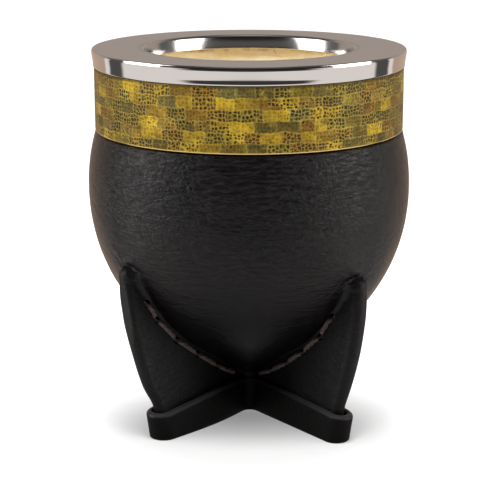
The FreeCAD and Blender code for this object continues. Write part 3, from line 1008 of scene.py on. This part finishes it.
outer = {face for face in strap.faces if face.is_valid and face in outer}
for level, outward, width, segments in (
    (STRAP_TALL, True, 0.95, 3),
    (STRAP_TALL, False, 0.35, 2),
    (0.0, True, 0.45, 2),
    (0.0, False, 0.2, 1),
):
    ring = edge_ring(level, outward)
    print("strap edge at", level, "outer" if outward else "inner", len(ring))
    bmesh.ops.bevel(strap, geom=ring, affect="EDGES", offset=width, segments=segments, profile=0.5, material=-1)
uprights = [e for e in strap.edges if abs(e.verts[0].co.z - e.verts[1].co.z) > 4]
bmesh.ops.subdivide_edges(strap, edges=uprights, cuts=5, use_grid_fill=True)

# %% Give the strip its real height, lean and slack, and mark its burnished top, whose lighter colour is a painted highlight
burnish = strap.verts.layers.float.new("burnish")
for vertex in strap.verts:
    vertex[burnish] = min(1.0, max(0.0, (vertex.co.z - STRAP_TALL + 0.85) / 0.5))
left = feet[0][0]
left_ahead = Vector((math.sin(left), -math.cos(left)))
left_across = Vector((math.cos(left), math.sin(left)))
for vertex in strap.verts:
    flat = vertex.co.xy
    far = flat.length
    share = vertex.co.z / STRAP_TALL
    height = 9.2 - 2.0 * (far / 41.0) ** 2.2
    walk, side = flat.dot(left_ahead), flat.dot(left_across)
    if 2 < walk < 37 and side > 1.0 and flat.y < 0:
        slack = math.sin(math.pi * (walk - 2) / 35)
        height += 0.7 * slack
        flat = flat + left_across * 1.2 * slack**1.2
    rise = noise.noise(Vector((flat.x, flat.y, 0)) * 0.09) * 0.25
    flat = flat + flat.normalized() * 1.45 * share * (far / 40) ** 3
    vertex.co = (flat.x, flat.y, share * (height + rise * share))
bmesh.ops.triangulate(strap, faces=[face for face in strap.faces if len(face.verts) > 4])
strap_leather = leather_finish("strap_leather", (0.0016, 0.0014, 0.0013), 0.52, True)
finish_piece("foot_strip", strap, strap_leather, "strap_leather", "foot_strap", sharp=55)

# %% [markdown]
# ## The floor
# A pale floor takes the cup's shadow, and a painted soft shadow greys it round the feet. Polished steel shows
# whatever is round it, so what the floor shows to the metal matters as much as what it shows to the eye: white
# in front, warm grey behind, a painted shadow under the cup, and dark at its sides and close to the camera.
# Light Path tells the two kinds of ray apart.

# %% What the metal sees in the floor
ground_finish = Finish("floor")
rays = ground_finish.node("LightPath")
spot = ground_finish.parts(ground_finish.node("TexCoord")["Object"])
ahead = (0 - spot["Y"]) / away(spot).most(0.001)
# A painted shadow under the cup, in the floor that glossy rays see
under = 1 - away(spot).rise(0.03, 0.09)
behind = 1 - ahead.rise(-0.60, -0.55)
beside = (1 - ahead.rise(-0.22, -0.14)) * ahead.rise(-0.50, -0.44)
close = (1 - spot["Y"].rise(-0.31, -0.255)) * ahead.rise(0.55, 0.8)
dark = (under * 0.8).most(beside * 0.92).most(close * 0.97)
mirrored = ground_finish.blend(behind, (0.98, 0.94, 0.92), (0.58, 0.43, 0.34))
mirrored = ground_finish.blend(dark, mirrored, (0.02, 0.02, 0.02))
in_metal = ground_finish.node("Emission", {}, {"Color": mirrored})["Emission"]

# %% What the eye sees: a lit floor that glows to white away from the feet and less near them, which paints a soft shadow there
aside, before_feet = spot["X"] / 0.052, (spot["Y"] + 0.03) / 0.036
# Painted soft shadow: the glow drops to grey in an oval in front of the feet, and the real shadow darkens it
# further
painted_shade_near_feet = 1 - ((aside * aside + before_feet * before_feet) ** 0.5).rise(0.4, 1.5)
glow = ground_finish.blend(painted_shade_near_feet, (1.0, 1.0, 1.0), (0.22, 0.22, 0.22))
glow = ground_finish.node("Emission", {}, {"Color": glow})["Emission"]
shaded = ground_finish.node("BsdfDiffuse", {}, {"Color": (0.33, 0.33, 0.33, 1.0)})["BSDF"]
to_eye = ground_finish.node("AddShader", {}, {0: shaded, 1: glow})["Shader"]
plain = ground_finish.node("BsdfDiffuse", {}, {"Color": (0.86, 0.86, 0.86, 1.0)})["BSDF"]
first = ground_finish.node("MixShader", {}, {0: rays["Is Camera Ray"], 1: plain, 2: to_eye})["Shader"]
both = ground_finish.node("MixShader", {}, {0: rays["Is Glossy Ray"], 1: first, 2: in_metal})["Shader"]
ground_finish.plug(both, ground_finish.tree.nodes["Material Output"].inputs["Surface"])
ground_finish.tell()

# %% The floor itself
ground = bmesh.new()
bmesh.ops.create_circle(ground, cap_ends=True, segments=96, radius=9.0)
ground_mesh = bpy.data.meshes.new("floor")
ground.to_mesh(ground_mesh)
ground.free()
ground_mesh.materials.append(ground_finish.material)
floor = bpy.data.objects.new("floor", ground_mesh)
bpy.context.scene.collection.objects.link(floor)

# %% [markdown]
# ## The studio round the cup
# To the eye the world is plain white. To the metal and the leather it is a small studio: dark in front, dim at
# the sides, warm grey behind and pale right overhead. Directions come from the world's own coordinates.

# %% World
world = bpy.data.worlds.new("studio")
bpy.context.scene.world = world
world.use_nodes = True
sky = Finish("studio", tree=world.node_tree)
rays = sky.node("LightPath")
way = sky.parts(sky.node("TexCoord")["Generated"])
ahead = (0 - way["Y"]) / away(way).most(0.001)
front = ahead.rise(0.15, 0.75)
behind = 1 - ahead.rise(-0.60, -0.50)
high = way["Z"].rise(0.45, 0.75)
low = way["Z"].rise(0.16, 0.22) * (1 - way["Z"].rise(0.38, 0.46))
in_front = sky.blend(low, (0.015, 0.014, 0.015), (0.11, 0.105, 0.105))
around = sky.blend(front, (0.12, 0.12, 0.125), in_front)
around = sky.blend(behind, around, (0.43, 0.37, 0.33))
around = sky.blend(high * (1 - front), around, (0.10, 0.10, 0.10))
around = sky.blend(way["Z"].rise(0.93, 0.98), around, (0.5, 0.49, 0.48))
seen = sky.blend(rays["Is Camera Ray"], around, (1.0, 1.0, 1.0))
background = sky.tree.nodes["Background"]
sky.plug(seen, background.inputs["Color"])
background.inputs["Strength"].default_value = 1.0
sky.tell()

# %% [markdown]
# ## The lamps
# Two large soft boxes at the sides draw the long soft lights on the leather. One above lights the collar and
# the floor, and a small one lights the mouth. The last two aren't mirrored, or the steel would show them.


# %% Lamps
def softbox(name, place, target, width, height, power, color=(1.0, 1.0, 1.0), mirrored=True):
    lamp = bpy.data.lights.new(name, "AREA")
    lamp.shape = "RECTANGLE"
    lamp.size, lamp.size_y = width, height
    lamp.energy = power
    lamp.color = color
    holder = bpy.data.objects.new(name, lamp)
    holder.location = place
    holder.rotation_euler = (Vector(target) - Vector(place)).to_track_quat("-Z", "Y").to_euler()
    holder.visible_glossy = mirrored
    bpy.context.scene.collection.objects.link(holder)
    print(name, power, "W")


middle = (0, 0, 0.05)
softbox("left_box", (-0.62, -0.10, 0.30), middle, 0.42, 0.5, 3.3, (1.0, 0.98, 0.97))
softbox("right_box", (0.62, -0.14, 0.26), middle, 0.42, 0.5, 2.9, (1.0, 0.98, 0.96))
softbox("top_box", (0.0, -0.26, 0.72), middle, 0.55, 0.45, 8.5, mirrored=False)
softbox("mouth_box", (0.0, -0.10, 0.36), (0, 0.02, 0.09), 0.08, 0.08, 0.66, mirrored=False)

# %% [markdown]
# ## The camera
# It stands in front of the cup, a little above the rim, and looks down on it. Its lens is long, so the fins and
# the rim keep their proportions.

# %% Camera
camera = bpy.data.cameras.new("camera")
camera.sensor_width = 36.0
camera.lens = 111.7
camera.shift_x = 0.002
viewer = bpy.data.objects.new("camera", camera)
viewer.location = (0.0, -0.4194, 0.151)
LOOKS_DOWN = 14.27
viewer.rotation_euler = (math.radians(90 - LOOKS_DOWN), 0.0, 0.0)
bpy.context.scene.collection.objects.link(viewer)
bpy.context.scene.camera = viewer
bpy.context.scene.view_settings.view_transform = "Standard"
print("camera: lens", camera.lens, "mm, looking down", LOOKS_DOWN, "degrees")
